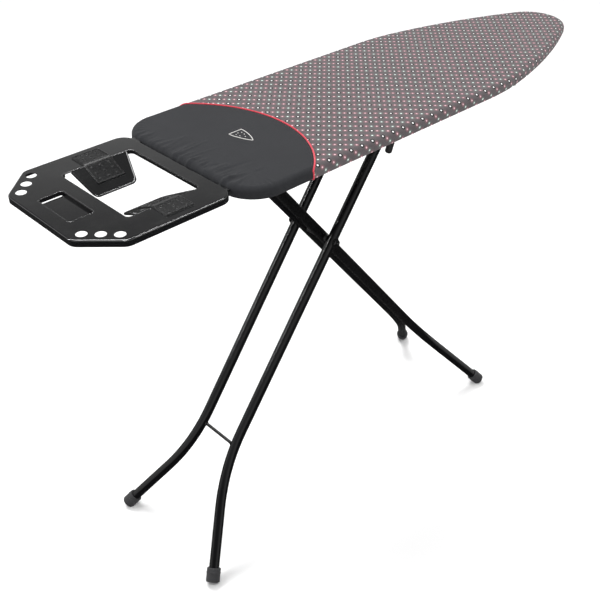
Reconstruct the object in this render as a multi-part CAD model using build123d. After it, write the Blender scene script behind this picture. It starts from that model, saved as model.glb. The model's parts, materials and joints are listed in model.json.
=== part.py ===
"""Folding ironing board with a pressed-steel iron rest, standing at its full height.

+X points at the nose, +Y across the board, +Z up. The origin is on the floor, under the
middle of the whole length. The board is the fixed body. The inner leg (B) hinges under the
iron-rest end. The outer leg (A) hinges on the inner leg at the scissor pivot, and its top
axle glides along two rails.
"""
from build123d import *
from math import atan2, cos, radians, sin, tan
import os

os.makedirs("parts", exist_ok=True)

# ---- driving dimensions, millimetres and degrees -------------------------------------------
HALF_LENGTH = 711.0         # iron-rest edge to nose tip is twice this
HALF_WIDTH = 190.0          # board is 380 wide over the cover
BOARD_END_X = -431.0        # wide end of the padded board
BOARD_CORNER_R = 68.0
TIP_R = 78.0                # nose tip
TIP_ANGLE = 25.0            # outline direction where the tip arc starts
NOSE_R = 1443.0             # long flank of the nose
SHOULDER_ANGLE = 11.1       # outline direction where the flank starts

COVER_TOP = 921.0
COVER_T = 1.4
SKIRT_BOTTOM = 899.0
PANEL_TOP = 915.0
SHEET_T = 0.9
PANEL_INSET = 2.0           # panel, rim and underlay sit this far inside the cover
RIM_T = 2.0
RIM_BOTTOM = 901.0
HEM_DEPTH = 24.0            # hem turned in under the rim
CORD_W = 4.0
CORD_DROP = 2.5
SEAM_CENTRE_X = -439.0      # round seam between the black end and the patterned cover
SEAM_R = 245.0
PIPING_W = 3.4
PIPING_RISE = 1.2
PIPING_OUT = 0.8

AXLE_Z = 888.0              # hinge tube of leg B and top axle of leg A
PIVOT_X = -95.6             # scissor pivot
PIVOT_Z = 634.0
ANGLE_A = 54.25             # leg angles from the floor at full height
ANGLE_B = 51.0
FOLDED_B = 2.5              # leg angles when the board is folded
FOLDED_A = 2.41
TUBE_R = 11.0
TUBE_T = 1.2
HALF_GAP_A = 54.0           # tube centre to middle plane
HALF_GAP_B = 26.4
FOOT_HALF_A = 157.0
FOOT_HALF_B = 139.0
FLARE_R = 400.0
FLARE_ANGLE = 25.0
CAP_R = 15.0
CAP_LENGTH = 30.0
CAP_FLOOR = 6.0             # cap beyond the end of the tube
CAP_END_Z = 8.0             # height of the middle of a cap's end face
BRACE_R = 3.5
BRACE_FROM_FLOOR = 286.0    # along the leg

HINGE_TUBE_R = 10.0
HINGE_TUBE_HALF = 125.0
SADDLE_Y = 100.0
SADDLE_W = 24.0
SADDLE_WALL = 4.0
AXLE_R = 5.0
AXLE_HALF = 91.0
GLIDE_R = 9.0
GLIDE_W = 14.0
PIN_R = 4.0
RUNNING_FIT = 0.05
BODY_GAP = 0.3

BAR_DEPTH = 8.0
BAR_T = 1.2
BAR_W = 22.0
HINGE_BAR_W = 70.0
MID_BAR_X = 46.0
FRONT_BAR_X = 380.0
NOSE_BAR_X = 560.0
RAIL_WEB_Y = 92.0           # inner face of a rail's web
RAIL_LIP = 16.0
RAIL_INNER_H = 21.6
RAIL_STOP_L = 17.0
RAIL_FLANGE = 13.0
RAIL_END_CLEAR = 1.0

LEVER_Y = -156.0
LEVER_Z = 889.0
LEVER_ROD_R = 4.0
LEVER_CORNER_X = -40.0
LEVER_LEAN = 21.0           # grip from the vertical, towards the iron rest
GRIP_R = 7.0
GRIP_LENGTH = 33.0
COMB_Y = -71.0
COMB_T = 3.0
COMB_TOP = 881.2
COMB_BOTTOM = 864.0
HEIGHT_STEPS = 8
BRACKET_X = (102.0, 322.0)
BRACKET_T = 3.0
ARM_T = 3.0

REST_TOP = 915.0
REST_DEPTH = 12.0
REST_EDGE_R = 2.6
REST_HALF_WIDTH = 157.0
REST_GAP = 2.0              # clear space between the rest and the cover
REST_CUT_X = (-609.0, -461.0)
REST_CUT_HALF = 100.0
REST_CUT_R = 10.0
REST_LIP_DEPTH = 8.0        # turned-down edge of the big opening
TONGUE_BASE_X = (-588.0, -472.0)
TONGUE_TIP_X = (-580.0, -495.0)
TONGUE_SLOPE = 25.0
TONGUE_L = 68.0
PAD_X = (-561.0, -505.0)
PAD_T = 3.0
PAD_FLAT = 40.0
PAD_SLOPED = 46.5
WINDOW_X = (-683.0, -636.0)
WINDOW_HALF = 48.0
WINDOW_DEPTH = 5.0
STRAP_Y = 125.0
STRAP_W = 26.0
STRAP_T = 3.0
STRAP_X = (-600.0, -345.0)

RIVET_R = 2.4
RIVET_HEAD_R = 4.5
RIVET_HEAD_H = 2.0
SCREW_R = 2.5
SADDLE_SCREW_X = 24.0
SADDLE_FLANGE_T = 4.0
STRAP_RIVET_X = (-400.0, -365.0)
RAIL_RIVET_INSET = 20.0
REST_HOLE_R = 9.5
REST_HOLES = ((-645.0, 133.0), (-666.5, 112.0), (-688.0, 91.0))

WASHER_R = 9.0              # scissor bolt and what is on it
WASHER_T = 1.5
SPACER_R = 8.0
SLEEVE_R = 7.0
BOLT_HEAD_R = 7.5
BOLT_HEAD_H = 5.5
NUT_HALF_FLATS = 6.5
NUT_DOME_R = 4.4
COLLAR_R = 7.5
COLLAR_W = 6.0
SPRING_WIRE_R = 0.7
ROD_BEND_R = 14.0

# ---- sizes that follow ---------------------------------------------------------------------
REACH_A = (AXLE_Z - PIVOT_Z) / sin(radians(ANGLE_A))
REACH_B = (AXLE_Z - PIVOT_Z) / sin(radians(ANGLE_B))
HINGE_X = PIVOT_X - REACH_B * cos(radians(ANGLE_B))
AXLE_X = PIVOT_X + REACH_A * cos(radians(ANGLE_A))
FOLDED_AXLE_X = (HINGE_X + REACH_B * cos(radians(FOLDED_B))
                 + REACH_A * cos(radians(FOLDED_A)))
PANEL_UNDER = PANEL_TOP - SHEET_T
BAR_BOTTOM = PANEL_UNDER - BAR_DEPTH
COVER_UNDER = COVER_TOP - COVER_T
RAIL_OVERRUN = GLIDE_R + RAIL_END_CLEAR + RAIL_STOP_L
RAIL_X = (AXLE_X - RAIL_OVERRUN, FOLDED_AXLE_X + RAIL_OVERRUN)
SIDES = {"left": 1, "right": -1}


# ---- small helpers -------------------------------------------------------------------------
def block(x, y, z):
    """Box from three (low, high) pairs, in either order."""
    size = [abs(hi - lo) for lo, hi in (x, y, z)]
    middle = [(lo + hi) / 2 for lo, hi in (x, y, z)]
    return Pos(*middle) * Box(*size)


def rod_y(radius, y_low, y_high, x, z):
    """Cylinder along Y."""
    length = y_high - y_low
    return Pos(x, (y_low + y_high) / 2, z) * Rot(90, 0, 0) * Cylinder(radius, length)


def rod_x(radius, x_low, x_high, y, z):
    """Cylinder along X."""
    length = x_high - x_low
    return Pos((x_low + x_high) / 2, y, z) * Rot(0, 90, 0) * Cylinder(radius, length)


def rod_z(radius, z_low, z_high, x, y):
    """Cylinder along Z."""
    return Pos(x, y, (z_low + z_high) / 2) * Cylinder(radius, z_high - z_low)


def prism_z(face, z_low, z_high):
    """Flat face drawn at z = 0, made into a solid between two heights."""
    return extrude(Pos(0, 0, z_low) * face, z_high - z_low, dir=(0, 0, 1))


def sided(shape, side):
    """The +Y piece as drawn, or its mirror image for the -Y side."""
    return shape if side > 0 else shape.mirror(Plane.XZ)


def write(name, shapes):
    """One STEP file per node; several solids stay separate in it."""
    shapes = shapes if isinstance(shapes, list) else [shapes]
    solids = [solid for shape in shapes for solid in shape.solids()]
    shape = solids[0] if len(solids) == 1 else Compound(children=solids)
    export_step(shape, f"parts/{name}.step")


# ---- plan outline of the board -------------------------------------------------------------
def heading(angle):
    """Outward normal, measured from +Y towards +X."""
    return Vector(sin(radians(angle)), cos(radians(angle)), 0)


def outline_arcs():
    """Arcs of the +Y half, from the wide end to the tip: centre, radius, start, end."""
    corner = Vector(BOARD_END_X + BOARD_CORNER_R, HALF_WIDTH - BOARD_CORNER_R, 0)
    tip = Vector(HALF_LENGTH - TIP_R, 0, 0)
    nose = tip - heading(TIP_ANGLE) * (NOSE_R - TIP_R)
    drop = HALF_WIDTH - nose.Y - NOSE_R * cos(radians(SHOULDER_ANGLE))
    shoulder_r = drop / (1 - cos(radians(SHOULDER_ANGLE)))
    shoulder = nose + heading(SHOULDER_ANGLE) * (NOSE_R - shoulder_r)
    return [(corner, BOARD_CORNER_R, -90, 0),
            (shoulder, shoulder_r, 0, SHOULDER_ANGLE),
            (nose, NOSE_R, SHOULDER_ANGLE, TIP_ANGLE),
            (tip, TIP_R, TIP_ANGLE, 90)]


def outline(inset):
    """Face of the board's plan, moved inwards by inset; every arc keeps its centre."""
    edges = []
    last = Vector(BOARD_END_X + inset, 0, 0)
    for centre, radius, start, end in outline_arcs():
        first, middle, final = [centre + heading(a) * (radius - inset)
                                for a in (start, (start + end) / 2, end)]
        if (first - last).length > 0.01:
            edges.append(Line(last, first))
        edges.append(ThreePointArc(first, middle, final))
        last = final
    mirrored = [edge.mirror(Plane.XZ) for edge in edges]
    return make_face(edges + mirrored)


def slab(inset, z_low, z_high):
    return prism_z(outline(inset), z_low, z_high)


def ring(outer_inset, inner_inset, z_low, z_high):
    return slab(outer_inset, z_low, z_high) - slab(inner_inset, z_low, z_high)


def seam_disc(radius):
    """Everything on the iron-rest side of a round seam."""
    return rod_z(radius, SKIRT_BOTTOM - 10, COVER_TOP + 10, SEAM_CENTRE_X, 0)


# ---- top: mesh panel, rim, underlay, cover --------------------------------------------------
def strap_slots():
    """Passages for the two rest straps through rim, cover and rest flange."""
    half = STRAP_W / 2 + 0.5
    return [block((BOARD_END_X - 20, BOARD_END_X + 20),
                  (side * STRAP_Y - half, side * STRAP_Y + half),
                  (PANEL_UNDER - STRAP_T - 0.5, PANEL_UNDER))
            for side in SIDES.values()]


def cover_shell(outer_inset, top):
    shell = slab(outer_inset, SKIRT_BOTTOM, top)
    shell -= slab(COVER_T, SKIRT_BOTTOM + COVER_T, COVER_UNDER)
    shell -= slab(HEM_DEPTH, SKIRT_BOTTOM, SKIRT_BOTTOM + COVER_T)
    for slot in strap_slots():
        shell -= slot
    return shell


def build_top():
    rim = ring(PANEL_INSET, PANEL_INSET + RIM_T, RIM_BOTTOM, PANEL_UNDER)
    for slot in strap_slots():
        rim -= slot
    panel = slab(PANEL_INSET, PANEL_UNDER, PANEL_TOP)
    for x, y in strap_rivet_places() + rail_rivet_places():
        panel -= rod_z(RIVET_R + RUNNING_FIT, PANEL_UNDER - 1, PANEL_TOP + 1, x, y)
    write("mesh_panel", panel)
    write("rim_frame", rim)
    write("underlay_pad", slab(PANEL_INSET, PANEL_TOP, COVER_UNDER))

    half = PIPING_W / 2
    shell = cover_shell(0, COVER_TOP)
    raised = cover_shell(-PIPING_OUT, COVER_TOP + PIPING_RISE)
    write("cover_patterned", shell - seam_disc(SEAM_R + half))
    write("cover_end_panel", shell & seam_disc(SEAM_R - half))
    write("cover_piping", (raised & seam_disc(SEAM_R + half)) - seam_disc(SEAM_R - half))
    write("cover_hem_cord", ring(HEM_DEPTH - CORD_W, HEM_DEPTH,
                                 SKIRT_BOTTOM - CORD_DROP, SKIRT_BOTTOM))


# ---- fasteners -----------------------------------------------------------------------------
def strap_rivet_places():
    return [(x, side * STRAP_Y) for side in SIDES.values() for x in STRAP_RIVET_X]


def rail_rivet_places():
    y = RAIL_WEB_Y + SHEET_T + RAIL_FLANGE / 2
    low, high = RAIL_X
    return [(x, side * y) for side in SIDES.values()
            for x in (low + RAIL_RIVET_INSET, (low + high) / 2, high - RAIL_RIVET_INSET)]


def rivet(x, y, seat_z):
    """Blind rivet pushed up from below, its head against a seat facing down."""
    head = rod_z(RIVET_HEAD_R, seat_z - RIVET_HEAD_H, seat_z, x, y)
    head = fillet(head.edges().filter_by(GeomType.CIRCLE).group_by(Axis.Z)[0], 1.5)
    return head + rod_z(RIVET_R, seat_z - 0.5, PANEL_TOP, x, y)


# ---- cross bars under the panel ------------------------------------------------------------
def cross_bar(x, width):
    """Shallow pressed channel, open side up against the panel."""
    bar = block((x - width / 2, x + width / 2), (-HALF_WIDTH, HALF_WIDTH),
                (BAR_BOTTOM, PANEL_UNDER))
    bar -= block((x - width / 2 + BAR_T, x + width / 2 - BAR_T), (-HALF_WIDTH, HALF_WIDTH),
                 (BAR_BOTTOM + BAR_T, PANEL_UNDER))
    return bar & slab(PANEL_INSET + RIM_T, BAR_BOTTOM - 1, PANEL_UNDER + 1)


def saddle_screw_places():
    return [(HINGE_X + dx, side * SADDLE_Y) for side in SIDES.values()
            for dx in (-SADDLE_SCREW_X, SADDLE_SCREW_X)]


def build_bars():
    hinge_bar = cross_bar(HINGE_X, HINGE_BAR_W)
    for x, y in saddle_screw_places():
        hinge_bar -= rod_z(SCREW_R + RUNNING_FIT, BAR_BOTTOM - 1, BAR_BOTTOM + 3, x, y)
    write("cross_bar_hinge", hinge_bar)
    write("cross_bar_middle", cross_bar(MID_BAR_X, BAR_W))
    write("cross_bar_front", cross_bar(FRONT_BAR_X, BAR_W))
    write("cross_bar_nose", cross_bar(NOSE_BAR_X, BAR_W))


def build_saddles():
    """Bearing blocks that hold leg B's hinge tube under the hinge bar."""
    wall_r = HINGE_TUBE_R + SADDLE_WALL
    for name, side in SIDES.items():
        y = (side * SADDLE_Y - SADDLE_W / 2, side * SADDLE_Y + SADDLE_W / 2)
        saddle = rod_y(wall_r, *y, HINGE_X, AXLE_Z)
        saddle += block((HINGE_X - wall_r, HINGE_X + wall_r), y, (AXLE_Z, BAR_BOTTOM))
        flange_half = HINGE_BAR_W / 2 - 2
        saddle += block((HINGE_X - flange_half, HINGE_X + flange_half), y,
                        (BAR_BOTTOM - SADDLE_FLANGE_T, BAR_BOTTOM))
        saddle -= rod_y(HINGE_TUBE_R + RUNNING_FIT, y[0] - 1, y[1] + 1, HINGE_X, AXLE_Z)
        for x, hole_y in saddle_screw_places():
            saddle -= rod_z(SCREW_R + RUNNING_FIT, BAR_BOTTOM - 9, BAR_BOTTOM + 1, x, hole_y)
        write(f"hinge_saddle_{name}", saddle)
    screws = []
    for x, y in saddle_screw_places():
        seat = BAR_BOTTOM - SADDLE_FLANGE_T
        head = rod_z(RIVET_HEAD_R, seat - 3, seat, x, y)
        head = fillet(head.edges().filter_by(GeomType.CIRCLE).group_by(Axis.Z)[0], 1.8)
        screw = head + rod_z(SCREW_R, seat - 0.5, BAR_BOTTOM + BAR_T + 4, x, y)
        cross = block((x - 2.6, x + 2.6), (y - 0.5, y + 0.5), (seat - 3, seat - 1.8))
        cross += block((x - 0.5, x + 0.5), (y - 2.6, y + 2.6), (seat - 3, seat - 1.8))
        screws.append(screw - cross)
    write("saddle_screws", screws)


# ---- rails for the top axle of leg A -------------------------------------------------------
def build_rails():
    low = AXLE_Z - RAIL_INNER_H / 2
    high = AXLE_Z + RAIL_INNER_H / 2
    web = (RAIL_WEB_Y, RAIL_WEB_Y + SHEET_T)
    lips = (RAIL_WEB_Y - RAIL_LIP, RAIL_WEB_Y + SHEET_T)
    rail = block(RAIL_X, web, (low - SHEET_T, PANEL_UNDER))
    rail += block(RAIL_X, lips, (low - SHEET_T, low))
    rail += block(RAIL_X, lips, (high, high + SHEET_T))
    rail += block(RAIL_X, (web[0], web[1] + RAIL_FLANGE), (PANEL_UNDER - SHEET_T, PANEL_UNDER))
    for x, y in rail_rivet_places():
        rail -= rod_z(RIVET_R + RUNNING_FIT, PANEL_UNDER - 3, PANEL_UNDER + 1, x, y)
    write("rail_left", rail)
    write("rail_right", rail.mirror(Plane.XZ))

    stop_y = (RAIL_WEB_Y - RAIL_LIP + 1, RAIL_WEB_Y)
    stops = []
    for start in (RAIL_X[0], RAIL_X[1] - RAIL_STOP_L):
        stop = block((start, start + RAIL_STOP_L), stop_y, (low, high))
        stops += [stop, stop.mirror(Plane.XZ)]
    write("rail_stops", stops)
    write("rail_rivets", [rivet(x, y, PANEL_UNDER - SHEET_T) for x, y in rail_rivet_places()])


# ---- legs ----------------------------------------------------------------------------------
def stand(shape, lean):
    """Turn a leg drawn lying along +X from the pivot, and hang it at the pivot."""
    return Pos(PIVOT_X, 0, PIVOT_Z) * Rot(0, lean, 0) * shape


def flared_route(top, cap_end, half_gap, foot_half):
    """Straight tube from the top, one arc outwards, straight again into the foot cap."""
    turn = radians(FLARE_ANGLE)
    end = Vector(cap_end - CAP_FLOOR * cos(turn), foot_half - CAP_FLOOR * sin(turn), 0)
    arc_end_y = half_gap + FLARE_R * (1 - cos(turn))
    arc_end = Vector(end.X - (end.Y - arc_end_y) / tan(turn), arc_end_y, 0)
    arc_start = Vector(arc_end.X - FLARE_R * sin(turn), half_gap, 0)
    half = turn / 2
    arc_middle = arc_start + Vector(FLARE_R * sin(half), FLARE_R * (1 - cos(half)), 0)
    return Wire([Line(Vector(top, half_gap, 0), arc_start),
                 ThreePointArc(arc_start, arc_middle, arc_end),
                 Line(arc_end, end)]), end


def leg_tube(top, cap_end, half_gap, foot_half):
    """Bent round tube, lying along +X, and the foot cap on its end."""
    route, end = flared_route(top, cap_end, half_gap, foot_half)
    start_plane = Plane(origin=(top, half_gap, 0), x_dir=(0, 1, 0), z_dir=(1, 0, 0))
    tube = sweep(start_plane * Circle(TUBE_R), route)
    tube -= sweep(start_plane * Circle(TUBE_R - TUBE_T), route)

    out = Vector(cos(radians(FLARE_ANGLE)), sin(radians(FLARE_ANGLE)), 0)
    cap_top = end + out * (CAP_FLOOR - CAP_LENGTH)
    return tube, Plane(origin=cap_top, x_dir=(0, 0, 1), z_dir=out) * foot_cap()


def foot_cap():
    """Rubber cap turned about Z, its mouth at zero: rib near the mouth, small domed nub."""
    seat = CAP_LENGTH - CAP_FLOOR
    edge = 2.5
    nub_r = 6.0
    nub_h = 2.2
    dome_r = (nub_r ** 2 + nub_h ** 2) / (2 * nub_h)
    dome_centre = CAP_LENGTH + nub_h - dome_r
    half = atan2(nub_r, dome_r - nub_h) / 2
    dome_middle = (dome_r * sin(half), dome_centre + dome_r * cos(half))
    lines = [Polyline((0, seat), (TUBE_R, seat), (TUBE_R, 0), (CAP_R - 1, 0), (CAP_R, 1),
                      (CAP_R, 8), (CAP_R + 0.6, 8.6), (CAP_R + 0.6, 10.4), (CAP_R, 11),
                      (CAP_R, CAP_LENGTH - edge)),
             RadiusArc((CAP_R, CAP_LENGTH - edge), (CAP_R - edge, CAP_LENGTH), -edge),
             Line((CAP_R - edge, CAP_LENGTH), (nub_r, CAP_LENGTH)),
             ThreePointArc((nub_r, CAP_LENGTH), dome_middle, (0, CAP_LENGTH + nub_h)),
             Line((0, CAP_LENGTH + nub_h), (0, seat))]
    return revolve(Plane.XZ * make_face(lines), Axis.Z)


def above_floor(shape):
    """Flat facet where a foot cap stands on the floor."""
    return split(shape, bisect_by=Plane.XY, keep=Keep.TOP)


def build_inner_leg():
    """Inner leg: two tubes welded to the hinge tube, feet under the nose."""
    lean = ANGLE_B
    cap_end = (PIVOT_Z - CAP_END_Z) / sin(radians(lean))
    tube, cap = leg_tube(-REACH_B, cap_end, HALF_GAP_B, FOOT_HALF_B)
    tube -= rod_y(HINGE_TUBE_R, 0, 60, -REACH_B, 0)
    tube -= rod_y(PIN_R + RUNNING_FIT, 0, 60, 0, 0)
    for name, side in SIDES.items():
        write(f"inner_leg_tube_{name}", stand(sided(tube, side), lean))
        write(f"inner_leg_foot_cap_{name}", above_floor(stand(sided(cap, side), lean)))

    hinge_tube = rod_y(HINGE_TUBE_R, -HINGE_TUBE_HALF, HINGE_TUBE_HALF, HINGE_X, AXLE_Z)
    bore_r = HINGE_TUBE_R - TUBE_T
    hinge_tube -= rod_y(bore_r, -HINGE_TUBE_HALF - 1, HINGE_TUBE_HALF + 1, HINGE_X, AXLE_Z)
    write("hinge_tube", hinge_tube)
    plugs = []
    for side in SIDES.values():
        plug = rod_y(HINGE_TUBE_R, HINGE_TUBE_HALF, HINGE_TUBE_HALF + 3, HINGE_X, AXLE_Z)
        plug += rod_y(bore_r, HINGE_TUBE_HALF - 12, HINGE_TUBE_HALF + 1, HINGE_X, AXLE_Z)
        plugs.append(sided(plug, side))
    write("hinge_tube_plugs", plugs)


def build_outer_leg():
    """Outer leg: two tubes, top axle with glides, a thin brace, feet under the rest."""
    lean = 180 - ANGLE_A
    cap_end = (PIVOT_Z - CAP_END_Z) / sin(radians(ANGLE_A))
    tube_end = 9.0
    tube, cap = leg_tube(-REACH_A - tube_end, cap_end, HALF_GAP_A, FOOT_HALF_A)
    tube -= rod_y(AXLE_R + RUNNING_FIT, 0, 90, -REACH_A, 0)
    tube -= rod_y(PIN_R + RUNNING_FIT, 0, 90, 0, 0)
    for name, side in SIDES.items():
        write(f"outer_leg_tube_{name}", stand(sided(tube, side), lean))
        write(f"outer_leg_foot_cap_{name}", above_floor(stand(sided(cap, side), lean)))
        glide = rod_y(GLIDE_R, AXLE_HALF - GLIDE_W, AXLE_HALF, AXLE_X, AXLE_Z)
        glide -= rod_y(AXLE_R, AXLE_HALF - GLIDE_W - 1, AXLE_HALF - 2, AXLE_X, AXLE_Z)
        write(f"axle_glide_{name}", sided(glide, side))

    end = AXLE_HALF - 2
    write("outer_leg_top_axle", rod_y(AXLE_R, -end, end, AXLE_X, AXLE_Z))
    brace_u = PIVOT_Z / sin(radians(ANGLE_A)) - BRACE_FROM_FLOOR
    brace_half = HALF_GAP_A - TUBE_R
    brace = rod_y(BRACE_R, -brace_half - 2, brace_half + 2, brace_u, 0)
    for side in SIDES.values():
        brace -= rod_x(TUBE_R, brace_u - 60, brace_u + 60, side * HALF_GAP_A, 0)
    write("outer_leg_brace", stand(brace, lean))

    inner_r = TUBE_R - TUBE_T
    plugs = []
    for side in SIDES.values():
        y = side * HALF_GAP_A
        plug = rod_x(TUBE_R, -REACH_A - tube_end - 1.5, -REACH_A - tube_end, y, 0)
        plug += rod_x(inner_r, -REACH_A - tube_end - 1, -REACH_A - AXLE_R - 1, y, 0)
        plugs.append(stand(plug, lean))
    write("outer_leg_end_plugs", plugs)


def build_pivot():
    """Scissor bolt through all four tubes, held in leg B; leg A turns on it."""
    outer = HALF_GAP_A + TUBE_R + BODY_GAP
    reach = outer + WASHER_T
    nut_end = reach + BOLT_HEAD_H - 1
    bolt = rod_y(PIN_R, -nut_end, reach + 1, PIVOT_X, PIVOT_Z)
    head = rod_y(BOLT_HEAD_R, reach, reach + BOLT_HEAD_H, PIVOT_X, PIVOT_Z)
    head = fillet(head.edges().filter_by(GeomType.CIRCLE).group_by(Axis.Y)[-1], 3.0)
    write("pivot_bolt", bolt + head)

    nut_face = Plane(origin=(PIVOT_X, -reach, PIVOT_Z), x_dir=(1, 0, 0), z_dir=(0, -1, 0))
    hexagon = nut_face * RegularPolygon(NUT_HALF_FLATS, 6, major_radius=False)
    nut = extrude(hexagon, nut_end - reach) + Pos(PIVOT_X, -nut_end, PIVOT_Z) * Sphere(NUT_DOME_R)
    nut -= rod_y(PIN_R, -nut_end, -reach + 1, PIVOT_X, PIVOT_Z)
    write("pivot_cap_nut", nut)

    washers = []
    spacers = []
    for side in SIDES.values():
        washer = rod_y(WASHER_R, outer, reach, PIVOT_X, PIVOT_Z)
        washer -= rod_y(PIN_R + RUNNING_FIT, outer - 1, reach + 1, PIVOT_X, PIVOT_Z)
        spacer_low = HALF_GAP_B + TUBE_R
        spacer_high = HALF_GAP_A - TUBE_R - BODY_GAP
        spacer = rod_y(SPACER_R, spacer_low, spacer_high, PIVOT_X, PIVOT_Z)
        spacer -= rod_y(PIN_R + RUNNING_FIT, spacer_low - 1, spacer_high + 1, PIVOT_X, PIVOT_Z)
        washers.append(sided(washer, side))
        spacers.append(sided(spacer, side))
    write("pivot_washers", washers)
    write("pivot_spacers", spacers)

    sleeve_half = HALF_GAP_B - TUBE_R
    sleeve = rod_y(SLEEVE_R, -sleeve_half, sleeve_half, PIVOT_X, PIVOT_Z)
    sleeve -= rod_y(PIN_R + RUNNING_FIT, -sleeve_half - 1, sleeve_half + 1, PIVOT_X, PIVOT_Z)
    write("pivot_centre_sleeve", sleeve)


# ---- height lever --------------------------------------------------------------------------
def lever_plate(points, x_low, thickness):
    """Flat plate drawn in YZ, standing across X."""
    plane = Plane(origin=(x_low, 0, 0), x_dir=(0, 1, 0), z_dir=(1, 0, 0))
    return extrude(plane * make_face(Polyline(*points, close=True)), thickness)


def build_lever():
    """Sprung rod along the right edge: the grip hangs down, the comb lies under the axle."""
    rod_end = FOLDED_AXLE_X + 22.0
    turn = radians(90 - LEVER_LEAN)
    back = ROD_BEND_R * tan(turn / 2)
    down = Vector(-sin(radians(LEVER_LEAN)), 0, -cos(radians(LEVER_LEAN)))
    corner = Vector(LEVER_CORNER_X, LEVER_Y, LEVER_Z)
    bend_start = corner + Vector(back, 0, 0)
    bend_end = corner + down * back
    centre = bend_start - Vector(0, 0, ROD_BEND_R)
    out = (corner - centre).normalized()
    route = Wire([Line(Vector(rod_end, LEVER_Y, LEVER_Z), bend_start),
                  ThreePointArc(bend_start, centre + out * ROD_BEND_R, bend_end),
                  Line(bend_end, corner + down * (GRIP_LENGTH - 4))])
    start_plane = Plane(origin=(rod_end, LEVER_Y, LEVER_Z), x_dir=(0, 1, 0), z_dir=(-1, 0, 0))
    write("lever_rod", sweep(start_plane * Circle(LEVER_ROD_R), route))

    grip_plane = Plane(origin=bend_end, x_dir=(0, 1, 0), z_dir=down)
    grip_length = GRIP_LENGTH - back
    grip = grip_plane * extrude(Circle(GRIP_R), grip_length)
    rims = grip.edges().filter_by(GeomType.CIRCLE).group_by(Axis.Z)
    grip = fillet(rims[0], 5.5)
    grip = fillet(grip.edges().filter_by(GeomType.CIRCLE).group_by(Axis.Z)[-1], 1.5)
    grip -= grip_plane * extrude(Circle(LEVER_ROD_R), grip_length - 4)
    write("lever_grip", grip)

    comb_x = (AXLE_X - AXLE_R - 8.0, FOLDED_AXLE_X + AXLE_R + 8.0)
    comb = block(comb_x, (COMB_Y - COMB_T / 2, COMB_Y + COMB_T / 2), (COMB_BOTTOM, COMB_TOP))
    pitch = (FOLDED_AXLE_X - AXLE_X) / (HEIGHT_STEPS - 1)
    for step in range(HEIGHT_STEPS):
        x = AXLE_X + step * pitch
        comb -= rod_y(AXLE_R + 1.5, COMB_Y - 5, COMB_Y + 5, x, COMB_TOP)
    inner = COMB_Y + COMB_T / 2
    under_rail = AXLE_Z - RAIL_INNER_H / 2 - SHEET_T - 3.5
    arm_points = [(inner, COMB_BOTTOM), (inner, under_rail), (-98.0, under_rail),
                  (LEVER_Y + 3, LEVER_Z + 7), (LEVER_Y - 5, LEVER_Z + 5),
                  (LEVER_Y - 6, LEVER_Z - 5), (-100.0, COMB_BOTTOM)]
    for x_low in (comb_x[0], comb_x[1] - ARM_T):
        comb += lever_plate(arm_points, x_low, ARM_T)
    comb -= rod_x(LEVER_ROD_R, comb_x[0] - 1, comb_x[1] + 1, LEVER_Y, LEVER_Z)
    write("lever_comb", comb)

    web_face = -(RAIL_WEB_Y + SHEET_T)
    bracket_points = [(web_face, 878.0), (web_face, 906.0), (-104.0, 906.0),
                      (LEVER_Y + 2, LEVER_Z + 7), (LEVER_Y - 7, LEVER_Z + 5),
                      (LEVER_Y - 8, LEVER_Z - 5), (LEVER_Y, LEVER_Z - 8)]
    brackets = []
    for x_low in BRACKET_X:
        bracket = lever_plate(bracket_points, x_low, BRACKET_T)
        bracket -= rod_x(LEVER_ROD_R + RUNNING_FIT, x_low - 1, x_low + 5, LEVER_Y, LEVER_Z)
        brackets.append(bracket)
    write("lever_brackets", brackets)

    collars = []
    for x_low in (BRACKET_X[0] - COLLAR_W - 0.5, BRACKET_X[1] + BRACKET_T + 0.5):
        collar = rod_x(COLLAR_R, x_low, x_low + COLLAR_W, LEVER_Y, LEVER_Z)
        collars.append(collar - rod_x(LEVER_ROD_R, x_low - 1, x_low + 7, LEVER_Y, LEVER_Z))
    write("lever_collars", collars)

    coil_r = LEVER_ROD_R + SPRING_WIRE_R + 0.6
    coil_start = BRACKET_X[0] + BRACKET_T + 1.5
    coil_plane = Plane(origin=(coil_start, LEVER_Y, LEVER_Z), x_dir=(0, 0, 1), z_dir=(1, 0, 0))
    coil = Helix(pitch=2.0, height=12.0, radius=coil_r)
    section = Plane(origin=coil @ 0, z_dir=coil % 0) * Circle(SPRING_WIRE_R)
    write("lever_spring", coil_plane * sweep(section, coil, is_frenet=True))


# ---- iron rest -----------------------------------------------------------------------------
def rest_face():
    """Plan of the rest: cut corners at the free end, round corners at the board."""
    free = -HALF_LENGTH
    inner = BOARD_END_X - REST_GAP
    cut = 64.0
    corner_y = 97.0
    points = [(free, -corner_y), (free, corner_y), (free + cut, REST_HALF_WIDTH),
              (inner, REST_HALF_WIDTH), (inner, -REST_HALF_WIDTH), (free + cut, -REST_HALF_WIDTH)]
    face = make_face(Polyline(*points, close=True))
    board_corners = face.vertices().group_by(Axis.X)[-1]
    face = fillet(board_corners, 28.0)
    soft = [v for v in face.vertices() if v.X < free + cut + 1]
    return fillet(soft, 22.0)


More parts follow.
